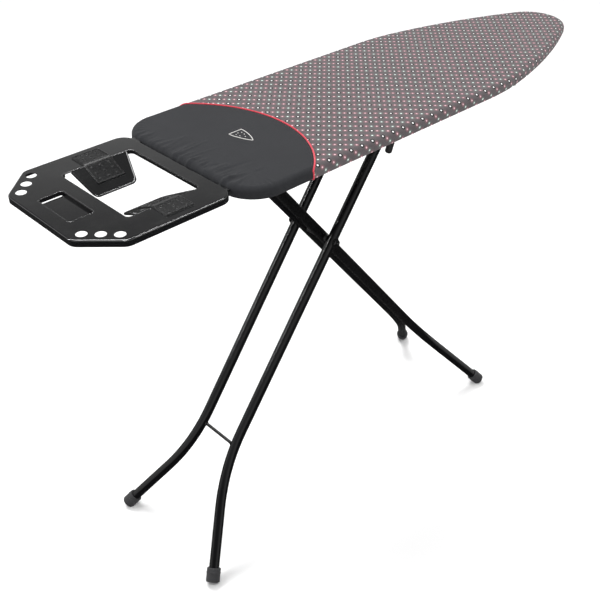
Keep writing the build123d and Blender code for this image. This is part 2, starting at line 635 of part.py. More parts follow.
def tongue(side):
    """Flap bent down into the big opening, with a hem folded under its tip."""
    slope = radians(TONGUE_SLOPE)
    plane = Plane(origin=(0, side * REST_CUT_HALF, REST_TOP), x_dir=(side, 0, 0),
                  z_dir=(0, -side * sin(slope), cos(slope)))
    base = [side * x for x in TONGUE_BASE_X]
    tip = [side * x for x in TONGUE_TIP_X]
    face = make_face(Polyline((base[0], 3), (base[1], 3), (tip[1], -TONGUE_L),
                              (tip[0], -TONGUE_L), close=True))
    tip_corners = face.vertices().group_by(Axis.Y)[0]
    face = fillet(tip_corners, 9.0)
    flap = extrude(plane * face, -SHEET_T)
    strip = face & Pos(0, -TONGUE_L + 3, 0) * Rectangle(4 * HALF_LENGTH, 6)
    flap += extrude(plane * strip, -2 * SHEET_T)
    reach = 2 * HALF_LENGTH
    return flap & block((-reach, reach), (-reach, reach), (0, REST_TOP))


def rest_pad(side):
    """Rubber pad folded over the crease between the rest and its tongue."""
    mitre = PAD_T * tan(radians(TONGUE_SLOPE) / 2)
    y = (side * (REST_CUT_HALF - mitre), side * (REST_CUT_HALF + PAD_FLAT))
    flat = block(PAD_X, y, (REST_TOP, REST_TOP + PAD_T))
    slope = radians(TONGUE_SLOPE)
    plane = Plane(origin=((PAD_X[0] + PAD_X[1]) / 2, side * REST_CUT_HALF, REST_TOP),
                  x_dir=(side, 0, 0), z_dir=(0, -side * sin(slope), cos(slope)))
    sloped = Rectangle(PAD_X[1] - PAD_X[0], PAD_SLOPED + mitre)
    sloped = Pos(0, (mitre - PAD_SLOPED) / 2, 0) * sloped
    return flat + extrude(plane * sloped, PAD_T)


def build_rest():
    face = rest_face()
    plate = prism_z(face, REST_TOP - REST_DEPTH, REST_TOP)
    plate = fillet(plate.edges().group_by(Axis.Z)[-1], REST_EDGE_R)
    inner = offset(face, -SHEET_T)
    plate -= prism_z(inner, REST_TOP - REST_DEPTH, REST_TOP - SHEET_T)

    cut_w = REST_CUT_X[1] - REST_CUT_X[0]
    cut_x = (REST_CUT_X[0] + REST_CUT_X[1]) / 2
    opening = Pos(cut_x, 0, 0) * RectangleRounded(cut_w, 2 * REST_CUT_HALF, REST_CUT_R)
    plate -= prism_z(opening, REST_TOP - 5, REST_TOP + 5)
    lip = offset(opening, SHEET_T) - opening
    lip -= Pos(cut_x, 0, 0) * Rectangle(cut_w - 2 * REST_CUT_R, 4 * REST_CUT_HALF)
    plate += prism_z(lip, REST_TOP - REST_LIP_DEPTH, REST_TOP - SHEET_T / 2)
    for side in SIDES.values():
        plate += tongue(side)
        for x, y in REST_HOLES:
            plate -= rod_z(REST_HOLE_R, REST_TOP - 5, REST_TOP + 5, x, side * y)

    window_w = WINDOW_X[1] - WINDOW_X[0]
    window_x = (WINDOW_X[0] + WINDOW_X[1]) / 2
    window = Pos(window_x, 0, 0) * RectangleRounded(window_w, 2 * WINDOW_HALF, 5)
    plate -= prism_z(window, REST_TOP - SHEET_T, REST_TOP)
    recess = prism_z(window, REST_TOP - WINDOW_DEPTH - SHEET_T, REST_TOP)
    recess -= prism_z(offset(window, -SHEET_T), REST_TOP - WINDOW_DEPTH, REST_TOP)
    recess -= block((WINDOW_X[0] + 4, WINDOW_X[1] - 4), (WINDOW_HALF - 7, WINDOW_HALF - 2),
                    (REST_TOP - WINDOW_DEPTH - 5, REST_TOP - WINDOW_DEPTH + 1))
    plate += recess
    for slot in strap_slots():
        plate -= slot
    write("iron_rest", plate)
    write("rest_pad_left", rest_pad(1))
    write("rest_pad_right", rest_pad(-1))

    for name, side in SIDES.items():
        y = (side * STRAP_Y - STRAP_W / 2, side * STRAP_Y + STRAP_W / 2)
        strap = block(STRAP_X, y, (PANEL_UNDER - STRAP_T, PANEL_UNDER))
        for x, hole_y in strap_rivet_places():
            strap -= rod_z(RIVET_R + RUNNING_FIT, PANEL_UNDER - 5, PANEL_UNDER + 1, x, hole_y)
        write(f"rest_strap_{name}", strap)
    write("strap_rivets", [rivet(x, y, PANEL_UNDER - STRAP_T) for x, y in strap_rivet_places()])


build_top()
build_bars()
build_saddles()
build_rails()
build_inner_leg()
build_outer_leg()
build_pivot()
build_lever()
build_rest()
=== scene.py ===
"""Looks of a folding ironing board with a pressed-steel iron rest.

Metres, +X at the nose, +Y across, +Z up. Fabric, mesh, felt and rubber pads are built here in
place of their plain solids; steel, nylon and fasteners keep their shape and get a finish.
"""
import json
import math
import random

import bmesh
import bpy
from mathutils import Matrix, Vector, noise
from mathutils.geometry import delaunay_2d_cdt
from mathutils.kdtree import KDTree


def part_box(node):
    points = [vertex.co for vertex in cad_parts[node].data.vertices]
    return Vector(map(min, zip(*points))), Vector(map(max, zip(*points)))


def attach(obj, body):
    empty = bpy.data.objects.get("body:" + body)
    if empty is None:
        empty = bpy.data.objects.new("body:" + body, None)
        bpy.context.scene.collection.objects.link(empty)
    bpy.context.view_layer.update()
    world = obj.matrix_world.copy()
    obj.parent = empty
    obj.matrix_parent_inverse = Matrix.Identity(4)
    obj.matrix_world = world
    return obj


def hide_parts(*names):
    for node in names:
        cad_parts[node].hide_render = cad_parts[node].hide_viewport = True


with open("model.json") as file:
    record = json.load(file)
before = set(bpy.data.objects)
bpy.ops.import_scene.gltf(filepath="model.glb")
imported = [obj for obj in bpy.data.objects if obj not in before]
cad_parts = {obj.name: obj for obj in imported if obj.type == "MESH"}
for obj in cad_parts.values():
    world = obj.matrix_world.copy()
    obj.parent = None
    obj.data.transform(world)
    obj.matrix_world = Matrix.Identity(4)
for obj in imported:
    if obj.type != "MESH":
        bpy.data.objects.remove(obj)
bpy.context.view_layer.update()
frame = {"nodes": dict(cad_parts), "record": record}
NODES = frame["nodes"]
MM = 0.001

# ---- board outline, metres and degrees: the same arcs as the frame's ----
HALF_LENGTH = 0.711
HALF_WIDTH = 0.190
BOARD_END_X = -0.431
CORNER_R = 0.068
TIP_R = 0.078
TIP_ANGLE = 25.0
NOSE_R = 1.443
SHOULDER_ANGLE = 11.1
COVER_TOP = 0.921
SKIRT_BOTTOM = 0.899
HEM_DEPTH = 0.024
SEAM_CENTRE_X = -0.439
SEAM_R = 0.245
PANEL_TOP = 0.915
PANEL_UNDER = 0.9141
EDGE_R = 12 * MM            # soft top edge of the cover
TURN_R = 3 * MM             # where the skirt turns in under the rim
LOOP_STEP = 4 * MM
CLOTH_T = 0.9 * MM
PRINT_CELL = 28.0           # repeat of the print, millimetres
PRINT_PHASE = (-157.0, 12.0)    # one ring's place on the board, millimetres


def heading(angle):
    """Outward normal, measured from +Y towards +X."""
    return Vector((math.sin(math.radians(angle)), math.cos(math.radians(angle))))


def outline_arcs():
    """Arcs of the +Y half, from the wide end to the tip: centre, radius, start, end."""
    corner = Vector((BOARD_END_X + CORNER_R, HALF_WIDTH - CORNER_R))
    tip = Vector((HALF_LENGTH - TIP_R, 0))
    nose = tip - heading(TIP_ANGLE) * (NOSE_R - TIP_R)
    drop = HALF_WIDTH - nose.y - NOSE_R * math.cos(math.radians(SHOULDER_ANGLE))
    shoulder_r = drop / (1 - math.cos(math.radians(SHOULDER_ANGLE)))
    shoulder = nose + heading(SHOULDER_ANGLE) * (NOSE_R - shoulder_r)
    return [(corner, CORNER_R, -90, 0),
            (shoulder, shoulder_r, 0, SHOULDER_ANGLE),
            (nose, NOSE_R, SHOULDER_ANGLE, TIP_ANGLE),
            (tip, TIP_R, TIP_ANGLE, 90)]


def outline_stations(extra_x=()):
    """Closed loop of (foot point, outward normal): a point at inset d is foot - normal * d.

    extra_x adds a station on both straight sides, so that a seam can run through it.
    """
    half = []

    def straight(first, last, normal, stops=()):
        length = (last - first).length
        count = max(1, round(length / LOOP_STEP))
        shares = [i / count for i in range(count)]
        for stop in stops:
            share = (stop - first.x) / (last.x - first.x)
            near = min(range(1, count), key=lambda i: abs(shares[i] - share))
            shares[near] = share
        for share in shares:
            half.append((first.lerp(last, share), normal))

    arcs = outline_arcs()
    straight(Vector((BOARD_END_X, 0)), Vector((BOARD_END_X, arcs[0][0].y)), Vector((-1, 0)))
    for index, (centre, radius, start, end) in enumerate(arcs):
        count = max(2, round(math.radians(end - start) * radius / LOOP_STEP))
        for i in range(count):
            normal = heading(start + (end - start) * i / count)
            half.append((centre + normal * radius, normal))
        if index == 0:
            straight(Vector((centre.x, HALF_WIDTH)), Vector((arcs[1][0].x, HALF_WIDTH)),
                     Vector((0, 1)), extra_x)
    tip = (Vector((HALF_LENGTH, 0)), Vector((1, 0)))
    mirrored = [(Vector((p.x, -p.y)), Vector((n.x, -n.y))) for p, n in reversed(half[1:])]
    return half + [tip] + mirrored


def loop_at(stations, inset):
    return [foot - normal * inset for foot, normal in stations]


def arc_lengths(stations):
    """Distance of every station from the first one, along the outline."""
    arcs = [0.0]
    for (before, _), (here, _) in zip(stations, stations[1:]):
        arcs.append(arcs[-1] + (here - before).length)
    return arcs


def depth_finder(stations):
    """Function of x and y that gives the nearest station's normal and the depth inside it."""
    tree = KDTree(len(stations))
    for index, (foot, _) in enumerate(stations):
        tree.insert((foot.x, foot.y, 0), index)
    tree.balance()

    def depth_at(x, y):
        _, index, _ = tree.find((x, y, 0))
        foot, normal = stations[index]
        return normal, (foot - Vector((x, y))).dot(normal)

    return depth_at


# ---- material helpers ----
class Graph:
    """Short forms for building a node material."""

    def __init__(self, name):
        self.material = bpy.data.materials.new(name)
        self.material.use_nodes = True
        self.tree = self.material.node_tree
        self.shader = self.tree.nodes["Principled BSDF"]

    def node(self, kind, settings=(), **inputs):
        made = self.tree.nodes.new(kind)
        for key, value in dict(settings).items():
            setattr(made, key, value)
        for key, value in inputs.items():
            self.plug(made.inputs[key.replace("_", " ")], value)
        return made

    def plug(self, socket, value):
        if isinstance(value, bpy.types.NodeSocket):
            self.tree.links.new(value, socket)
        else:
            socket.default_value = value

    def math(self, operation, a, b=0.0):
        made = self.node("ShaderNodeMath", {"operation": operation})
        self.plug(made.inputs[0], a)
        self.plug(made.inputs[1], b)
        return made.outputs[0]

    def vector(self, operation, a, b=(0, 0, 0)):
        made = self.node("ShaderNodeVectorMath", {"operation": operation})
        self.plug(made.inputs[0], a)
        self.plug(made.inputs[1], b)
        return made.outputs["Value" if operation == "LENGTH" else "Vector"]

    def scaled(self, source, scale):
        return self.vector("MULTIPLY", source, (scale, scale, scale))

    def noise(self, source, scale, detail=3.0, rough=0.5):
        made = self.node("ShaderNodeTexNoise", Vector=source, Scale=scale, Detail=detail,
                         Roughness=rough)
        return made.outputs["Fac"]

    def ramp(self, value, low, high, out_low=0.0, out_high=1.0, smooth=False):
        kind = "SMOOTHSTEP" if smooth else "LINEAR"
        made = self.node("ShaderNodeMapRange", {"interpolation_type": kind}, Value=value)
        for key, number in (("From Min", low), ("From Max", high),
                            ("To Min", out_low), ("To Max", out_high)):
            made.inputs[key].default_value = number
        return made.outputs["Result"]

    def mix(self, factor, first, second):
        made = self.node("ShaderNodeMix", {"data_type": "RGBA"})
        self.plug(made.inputs[0], factor)
        self.plug(made.inputs[6], colour(first) if isinstance(first, tuple) else first)
        self.plug(made.inputs[7], colour(second) if isinstance(second, tuple) else second)
        return made.outputs[2]

    def bump(self, height, distance, strength=1.0, normal=None):
        made = self.node("ShaderNodeBump", Height=height, Distance=distance,
                         Strength=strength)
        if normal is not None:
            self.plug(made.inputs["Normal"], normal)
        return made.outputs["Normal"]

    def set(self, **inputs):
        names = {"base": "Base Color", "coat": "Coat Weight", "coat_rough": "Coat Roughness",
                 "sheen": "Sheen Weight", "sheen_rough": "Sheen Roughness",
                 "specular": "Specular IOR Level"}
        for key, value in inputs.items():
            socket = self.shader.inputs[names.get(key, key.capitalize())]
            self.plug(socket, colour(value) if isinstance(value, tuple) else value)
        return self.material

    def place(self):
        return self.node("ShaderNodeTexCoord").outputs["Object"]

    def cloth(self):
        """Flat coordinates of the cloth before it was wrapped, in metres."""
        return self.node("ShaderNodeUVMap", {"uv_map": "cloth"}).outputs["UV"]


def colour(rgb):
    return (rgb[0], rgb[1], rgb[2], 1.0)


def srgb(red, green, blue):
    """Linear colour from 0 to 255 screen values."""
    def linear(value):
        value /= 255
        return value / 12.92 if value <= 0.04045 else ((value + 0.055) / 1.055) ** 2.4
    return (linear(red), linear(green), linear(blue))


# ---- metal, rubber and plastic ----
def enamel(name, tone, rough, grain, coat, specular):
    """Powder coat: orange peel, a little dust in the gloss, faint scuffs."""
    g = Graph(name)
    place = g.place()
    peel = g.noise(place, grain, 2.0)
    dust = g.noise(place, 18.0, 5.0, 0.65)
    fleck = g.ramp(g.noise(place, 2600.0, 1.0), 0.62, 0.8, 0.0, 0.35)
    scuffs = g.ramp(g.noise(g.vector("MULTIPLY", place, (30, 260, 260)), 1.0, 4.0), 0.62, 0.72)
    base = g.mix(dust, tuple(c * 0.8 for c in tone), tuple(c * 1.25 for c in tone))
    base = g.mix(fleck, base, tuple(c * 1.7 + 0.01 for c in tone))
    gloss = g.math("ADD", g.ramp(dust, 0.3, 0.75, rough - 0.05, rough + 0.08),
                   g.math("MULTIPLY", scuffs, 0.07))
    normal = g.bump(peel, 0.12 * MM, 0.55)
    return g.set(base=base, roughness=gloss, normal=normal, coat=coat, coat_rough=0.03,
                 specular=specular)


def zinc(name):
    """Bright zinc plate with a drawn grain and slight clouding."""
    g = Graph(name)
    place = g.place()
    cloud = g.noise(place, 55.0, 4.0)
    grain = g.noise(g.vector("MULTIPLY", place, (60, 2500, 2500)), 1.0, 2.0)
    base = g.mix(cloud, (0.46, 0.47, 0.47), (0.68, 0.67, 0.63))
    rough = g.math("ADD", g.ramp(cloud, 0.3, 0.7, 0.22, 0.36), g.math("MULTIPLY", grain, 0.08))
    return g.set(base=base, metallic=1.0, roughness=rough, normal=g.bump(grain, 0.03 * MM, 0.5))


def rubber(name, tone, rough, pores, sheen, specular=0.4):
    """Matt moulded rubber: fine pores, dusty high spots."""
    g = Graph(name)
    place = g.place()
    skin = g.noise(place, pores, 3.0, 0.6)
    dust = g.noise(place, 40.0, 5.0, 0.7)
    base = g.mix(g.ramp(dust, 0.45, 0.75), tone, tuple(c * 1.5 + 0.004 for c in tone))
    gloss = g.ramp(skin, 0.3, 0.7, rough - 0.08, rough + 0.1)
    normal = g.bump(skin, 0.15 * MM, 0.6)
    return g.set(base=base, roughness=gloss, normal=normal, sheen=sheen, specular=specular)


# ---- cloth ----
def weave(g, cloth, pitch):
    """Height of a plain weave: threads pass over each other at every pitch."""
    parts = g.node("ShaderNodeSeparateXYZ", Vector=cloth)
    turn = 2 * math.pi / pitch
    across = g.math("SINE", g.math("MULTIPLY", parts.outputs[0], turn))
    along = g.math("SINE", g.math("MULTIPLY", parts.outputs[1], turn))
    slub = g.noise(g.vector("MULTIPLY", cloth, (90, 1400, 1)), 1.0, 2.0)
    return g.math("ADD", g.math("MULTIPLY", across, along), slub)


def printed_cotton():
    """Mid-grey cotton printed with rings and dots on a square repeat."""
    g = Graph("patterned_cotton")
    cloth = g.cloth()
    wobble = g.node("ShaderNodeTexNoise", Vector=cloth, Scale=160.0, Detail=1.0)
    shake = g.vector("SUBTRACT", wobble.outputs["Color"], (0.5, 0.5, 0.5))
    uneven = g.vector("ADD", cloth, g.scaled(shake, 0.5 * MM))
    cell = g.scaled(uneven, 1 / (PRINT_CELL * MM))
    edge = 0.35                 # softness of a printed edge, millimetres

    def spot(place, radius, soft=edge):
        """1 inside a round spot at this place of every repeat, 0 outside."""
        x, y = (PRINT_PHASE[0] + place[0], PRINT_PHASE[1] + place[1])
        moved = g.vector("SUBTRACT", cell, (x / PRINT_CELL - 0.5, y / PRINT_CELL - 0.5, 0))
        middle = g.vector("SUBTRACT", g.vector("FRACTION", moved), (0.5, 0.5, 0))
        flat = g.vector("MULTIPLY", middle, (PRINT_CELL, PRINT_CELL, 0))
        distance = g.vector("LENGTH", flat)
        return g.ramp(distance, radius - soft, radius + soft, 1.0, 0.0, smooth=True)

    corner, centre = (0, 0), (PRINT_CELL / 2, PRINT_CELL / 2)
    quarters = [(PRINT_CELL / 4, PRINT_CELL * 3 / 4), (PRINT_CELL * 3 / 4, PRINT_CELL / 4)]
    pink, pale, mint = srgb(146, 96, 104), srgb(226, 190, 195), srgb(104, 119, 113)
    shade = g.noise(cloth, 6.0, 4.0, 0.6)
    base = g.mix(shade, srgb(76, 70, 72), srgb(91, 84, 86))
    for place, tint in zip(quarters + [centre, corner], (pink, pink, mint, mint)):
        base = g.mix(g.math("MULTIPLY", spot(place, 4.2, 2.6), 0.6), base, tint)
    base = g.mix(spot(corner, 4.8, 0.5), base, srgb(10, 9, 12))
    base = g.mix(spot(corner, 1.9), base, srgb(252, 252, 252))
    base = g.mix(spot(centre, 1.8), base, srgb(222, 236, 229))
    for place in quarters:
        base = g.mix(spot(place, 1.75), base, pale)
    threads = weave(g, cloth, 0.7 * MM)
    base = g.mix(g.ramp(threads, -1.0, 2.0, 0.0, 0.22), base, srgb(40, 38, 40))
    rough = g.ramp(threads, -1.0, 2.0, 0.78, 0.94)
    normal = g.bump(threads, 0.12 * MM, 0.6, g.bump(shade, 0.6 * MM, 0.25))
    return g.set(base=base, roughness=rough, normal=normal, sheen=0.12, sheen_rough=0.5,
                 specular=0.25)


def plain_cotton(name, tone, pitch, sheen):
    """Dyed cotton: woven threads, lint, and painted shade: paler on the swells of the noise that
    bumps the cloth, darker in its hollows.
    """
    g = Graph(name)
    cloth = g.cloth()
    threads = weave(g, cloth, pitch)
    shade = g.noise(cloth, 9.0, 5.0, 0.65)
    lint = g.ramp(g.noise(cloth, 900.0, 3.0, 0.7), 0.68, 0.85, 0.0, 0.25)
    # painted shade: the same noise that swells the cloth in the bump below makes it paler on the
    # swells and darker in the hollows
    base = g.mix(shade, tuple(c * 0.82 for c in tone), tuple(c * 1.18 for c in tone))
    base = g.mix(g.ramp(threads, -1.0, 2.0, 0.0, 0.3), base, tuple(c * 0.45 for c in tone))
    base = g.mix(lint, base, tuple(c * 1.8 + 0.02 for c in tone))
    normal = g.bump(threads, 0.12 * MM, 0.65, g.bump(shade, 0.8 * MM, 0.3))
    return g.set(base=base, roughness=g.ramp(threads, -1.0, 2.0, 0.8, 0.95), normal=normal,
                 sheen=sheen, sheen_rough=0.45, specular=0.25)


def piping_cloth():
    """Bias-cut red binding over a cord: slanting threads and a faint twist."""
    g = Graph("red_piping")
    place = g.place()
    twist = g.noise(g.vector("MULTIPLY", place, (700, 700, 300)), 1.0, 2.0)
    shade = g.noise(place, 30.0, 3.0)
    base = g.mix(shade, srgb(188, 48, 64), srgb(214, 66, 82))
    base = g.mix(g.ramp(twist, 0.45, 0.75, 0.0, 0.5), base, srgb(140, 24, 40))
    return g.set(base=base, roughness=g.ramp(twist, 0.3, 0.7, 0.7, 0.9), sheen=0.25,
                 normal=g.bump(twist, 0.2 * MM, 0.6), sheen_rough=0.4)


def felt_fibre():
    """Needled felt underlay: short fibres every way, with darker flecks."""
    g = Graph("felt")
    place = g.place()
    fibre = g.noise(g.vector("MULTIPLY", place, (900, 260, 900)), 1.0, 5.0, 0.75)
    cross = g.noise(g.vector("MULTIPLY", place, (260, 900, 900)), 1.0, 5.0, 0.75)
    mat = g.math("MULTIPLY", g.math("ADD", fibre, cross), 0.5)
    fleck = g.ramp(g.noise(place, 700.0, 2.0), 0.66, 0.8)
    base = g.mix(g.ramp(mat, 0.35, 0.65), srgb(150, 148, 142), srgb(206, 203, 196))
    base = g.mix(g.math("MULTIPLY", fleck, 0.6), base, srgb(90, 92, 100))
    return g.set(base=base, roughness=0.95, normal=g.bump(mat, 0.5 * MM, 0.8), sheen=0.3)


def thread_cotton(name, tone):
    """Twisted sewing thread."""
    g = Graph(name)
    twist = g.noise(g.vector("MULTIPLY", g.place(), (2400, 2400, 900)), 1.0, 2.0)
    base = g.mix(twist, tuple(c * 0.6 for c in tone), tuple(c * 1.3 for c in tone))
    return g.set(base=base, roughness=0.8, sheen=0.2, normal=g.bump(twist, 0.08 * MM, 0.6))


FINISH = {
    "coated_steel": enamel("coated_steel", (0.003, 0.003, 0.0034), 0.13, 620.0, 0.3, 0.15),
    "frame_steel": enamel("frame_steel", (0.010, 0.010, 0.011), 0.32, 800.0, 0.0, 0.3),
    "rest_steel": enamel("rest_steel", (0.0030, 0.0032, 0.0036), 0.10, 720.0, 0.8, 0.7),
    "zinc_steel": zinc("zinc_steel"),
    "foot_rubber": rubber("foot_rubber", (0.022, 0.022, 0.024), 0.66, 900.0, 0.1),
    "silicone": rubber("silicone", (0.0030, 0.0031, 0.0034), 0.27, 1100.0, 0.0, 0.28),
    "black_plastic": rubber("black_plastic", (0.012, 0.012, 0.013), 0.42, 1500.0, 0.0),
    "patterned_cotton": printed_cotton(),
    "black_cotton": plain_cotton("black_cotton", srgb(36, 37, 40), 0.8 * MM, 0.05),
    "red_piping": piping_cloth(),
    "felt": felt_fibre(),
    "black_thread": thread_cotton("black_thread", srgb(52, 54, 58)),
    "white_thread": thread_cotton("white_thread", srgb(205, 203, 200)),
}


# ---- piece helpers ----
def placed(name, data):
    """New object with this data, in the scene."""
    made = bpy.data.objects.new(name, data)
    bpy.context.scene.collection.objects.link(made)
    return made


def add_piece(name, data, slot, body="board", material=None):
    piece = placed(name, data)
    data.materials.append(FINISH[material or slot])
    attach(piece, body)
    return piece


def listed_mesh(name, vertices, faces, cloth=None):
    """Mesh from lists; cloth gives every vertex its place on the flat cloth."""
    mesh = bpy.data.meshes.new(name)
    mesh.from_pydata(vertices, [], faces)
    if cloth:
        layer = mesh.uv_layers.new(name="cloth")
        for loop in mesh.loops:
            layer.data[loop.index].uv = cloth[loop.vertex_index]
    return mesh


def shaped_mesh(name, shaper):
    """Mesh from a bmesh, which is freed."""
    mesh = bpy.data.meshes.new(name)
    shaper.to_mesh(mesh)
    shaper.free()
    return mesh


def smooth(piece, angle=40):
    bpy.context.view_layer.objects.active = piece
    piece.select_set(True)
    bpy.ops.object.shade_smooth_by_angle(angle=math.radians(angle))
    piece.select_set(False)


def solidify(piece, thickness, offset=-1.0):
    skin = piece.modifiers.new("thickness", "SOLIDIFY")
    skin.thickness = thickness
    skin.offset = offset


def outward_faces(mesh, merge=None):
    """Turns every face outwards; merge joins vertices closer than that first."""
    shaper = bmesh.new()
    shaper.from_mesh(mesh)
    if merge:
        bmesh.ops.remove_doubles(shaper, verts=shaper.verts, dist=merge)
    bmesh.ops.recalc_face_normals(shaper, faces=shaper.faces)
    shaper.to_mesh(mesh)
    shaper.free()


def tube_curve(name, points, radius, slot, cyclic=False, material=None, resolution=3):
    """Round rod on the board, through every point."""
    curve = bpy.data.curves.new(name, "CURVE")
    curve.dimensions = "3D"
    curve.bevel_depth = radius
    curve.bevel_resolution = resolution
    curve.use_fill_caps = True
    spline = curve.splines.new("POLY")
    spline.points.add(len(points) - 1)
    for place, point in zip(spline.points, points):
        place.co = (*point, 1.0)
    spline.use_cyclic_u = cyclic
    spline.use_smooth = True
    return add_piece(name, curve, slot, material=material)


# ---- cover: one wrapped sheet, cut along the round seam ----
def seam_x(v):
    """Where the seam crosses a line at distance v from the board's middle line."""
    v = min(abs(v), HALF_WIDTH)
    return SEAM_CENTRE_X + math.sqrt(SEAM_R ** 2 - v ** 2)


TOP_EDGE_Y = HALF_WIDTH - EDGE_R
SEAM_SIDE_X = seam_x(TOP_EDGE_Y)
STATIONS = outline_stations(extra_x=(SEAM_SIDE_X,))
depth_at = depth_finder(STATIONS)


def edge_profile():
    """(inset, height, cloth length from the start of the edge) from the top to the hem."""
    rows = []
    quarter = math.pi / 2
    for i in range(1, 7):
        a = quarter * i / 6
        rows.append((EDGE_R * (1 - math.sin(a)), COVER_TOP - EDGE_R * (1 - math.cos(a)),
                     EDGE_R * a))
    fall = COVER_TOP - EDGE_R - SKIRT_BOTTOM - TURN_R
    for i in range(1, 4):
        rows.append((0, COVER_TOP - EDGE_R - fall * i / 3, EDGE_R * quarter + fall * i / 3))
    base = rows[-1][2]
    for i in range(1, 4):
        a = quarter * i / 3
        rows.append((TURN_R * (1 - math.cos(a)),
                     SKIRT_BOTTOM + TURN_R * (1 - math.sin(a)), base + TURN_R * a))
    base = rows[-1][2]
    inner = HEM_DEPTH - TURN_R
    for i in range(1, 7):
        rows.append((TURN_R + inner * i / 6, SKIRT_BOTTOM, base + inner * i / 6))
    return rows


CLOTH_REACH = edge_profile()[-1][2]     # cloth from the start of the edge to the hem
FOLD_COUNT = 74
FOLD_HALF_SPAN = 0.150
GATHER_X = -0.33            # no gathers from the drawstring past here


def wave_train(position, seed, wavelength):
    """Uneven pleats: a wave whose spacing and height wander along the cloth."""
    wander = noise.noise(Vector((position * 6.0, seed, 0.3)))
    height = 0.55 + 0.45 * noise.noise(Vector((position * 14.0, seed + 7.1, 1.7)))
    phase = 2 * math.pi * (position / wavelength + 1.3 * wander)
    return height * math.sin(phase)


def ease(value):
    value = max(0.0, min(1.0, value))
    return value * value * (3 - 2 * value)


def make_folds():
    """Creases pulled in by the drawstring: place, lean, length, width and height of each."""
    draw = random.Random(11)
    folds = []
    for i in range(FOLD_COUNT):
        y = FOLD_HALF_SPAN * (2 * (i + draw.uniform(-0.7, 0.7)) / FOLD_COUNT - 1)
        near = 1.0 if y < 0.02 else 0.6
        long = draw.random() < 0.3
        length = draw.uniform(45, 92) * MM if long else draw.uniform(14, 40) * MM
        folds.append((y, draw.uniform(-0.22, 0.22), length * (0.65 + 0.35 * near),
                      draw.uniform(1.7, 3.6) * MM * (1.3 if long else 1.0),
                      draw.uniform(1.2, 3.3) * MM * near * (1 if draw.random() < 0.7 else -1)))
    return folds


FOLDS = make_folds()


def gather_lift(x, y):
    """Pulled cloth at the rest end: creases square to the edge, deeper on the -Y half."""
    inward = x - BOARD_END_X
    lift = 0.0
    for at, lean, length, width, height in FOLDS:
        if inward < length:
            away = (y - at - lean * inward) / width
            if abs(away) < 3:
                share = 1 - inward / length
                lift += height * math.exp(-away * away) * share ** 0.7
    corner_x = BOARD_END_X + CORNER_R
    corner_y = HALF_WIDTH - CORNER_R
    if x < corner_x and abs(y) > corner_y:
        turn = math.atan2(abs(y) - corner_y, corner_x - x)
        edge = CORNER_R - math.hypot(x - corner_x, abs(y) - corner_y)
        side = 1.0 if y < 0 else 0.55
        fan = ease(1 - edge / 0.045) * wave_train(turn * CORNER_R, 9.0 + y, 0.013)
        lift = lift * (1 - ease(turn / 0.7)) + 0.9 * MM * fan * side * ease(turn / 0.3)
    return lift - 0.2 * MM


def top_height(x, y):
    """Felt under cotton: faint quilting swells, soft near the edge, pulled down at the seam."""
    swell = noise.noise(Vector((x * 9.0, y * 9.0, 0.0))) * 0.45
    fine = noise.noise(Vector((x * 34.0, y * 34.0, 4.0))) * 0.16
    from_seam = abs(math.hypot(x - SEAM_CENTRE_X, y) - SEAM_R)
    groove = -0.75 * math.exp(-(from_seam / 0.0035) ** 2)
    pucker = 0.28 * math.exp(-from_seam / 0.012) * math.sin(
        math.atan2(y, x - SEAM_CENTRE_X) * SEAM_R * 2 * math.pi / 0.012)
    height = COVER_TOP + (swell + fine + groove + pucker - 0.3) * MM
    return height + (gather_lift(x, y) if x < -0.30 else 0.0)


def seam_warp(x, v):
    """Sideways shift of skirt cloth beside the seam, where the seam leans over the edge."""
    shift = seam_x(v) - SEAM_SIDE_X
    return shift * math.exp(-((x - SEAM_SIDE_X) / 0.03) ** 2)


def hem_gather(arc, share):
    """Elastic gathers of the hem under the board."""
    return share * (1.5 * wave_train(arc, 21.0, 0.015) + 0.7 * wave_train(arc, 33.0, 0.0075)) * MM


def top_lattice():
    """Inner points of the top, finer where the gathers are."""
    points = []
    x = BOARD_END_X + EDGE_R
    row = 0
    while x < HALF_LENGTH - EDGE_R:
        step = 3.2 * MM if x < -0.335 else 6.5 * MM
        y = -HALF_WIDTH + (row % 2) * step / 2
        while y < HALF_WIDTH:
            _, depth = depth_at(x, y)
            from_seam = abs(math.hypot(x - SEAM_CENTRE_X, y) - SEAM_R)
            if depth > EDGE_R + 0.4 * step and from_seam > 0.45 * step:
                points.append(Vector((x, y)))
            y += step
        x += step * 0.87
        row += 1
    return points


def seam_points():
    """The round seam on the flat top, from the -Y edge to the +Y edge."""
    limit = math.asin(TOP_EDGE_Y / SEAM_R)
    count = round(2 * limit * SEAM_R / (3.5 * MM))
    return [Vector((SEAM_CENTRE_X + SEAM_R * math.cos(a), SEAM_R * math.sin(a)))
            for a in (limit * (2 * i / count - 1) for i in range(count + 1))]


def cover_top(loop, seam, seam_ends):
    """Flat triangles of the top, and the number that every loop point got among them."""
    count = len(loop)
    inner_seam = seam[1:-1]
    chain = [seam_ends[0]] + list(range(count, count + len(inner_seam))) + [seam_ends[1]]
    edges = [(i, (i + 1) % count) for i in range(count)] + list(zip(chain, chain[1:]))
    points = loop + inner_seam + top_lattice()
    coords, _, faces, origin, _, _ = delaunay_2d_cdt(points, edges, [], 1, 1e-7)
    where = {source: index for index, sources in enumerate(origin) for source in sources}
    return coords, [list(face) for face in faces], [where[i] for i in range(count)]


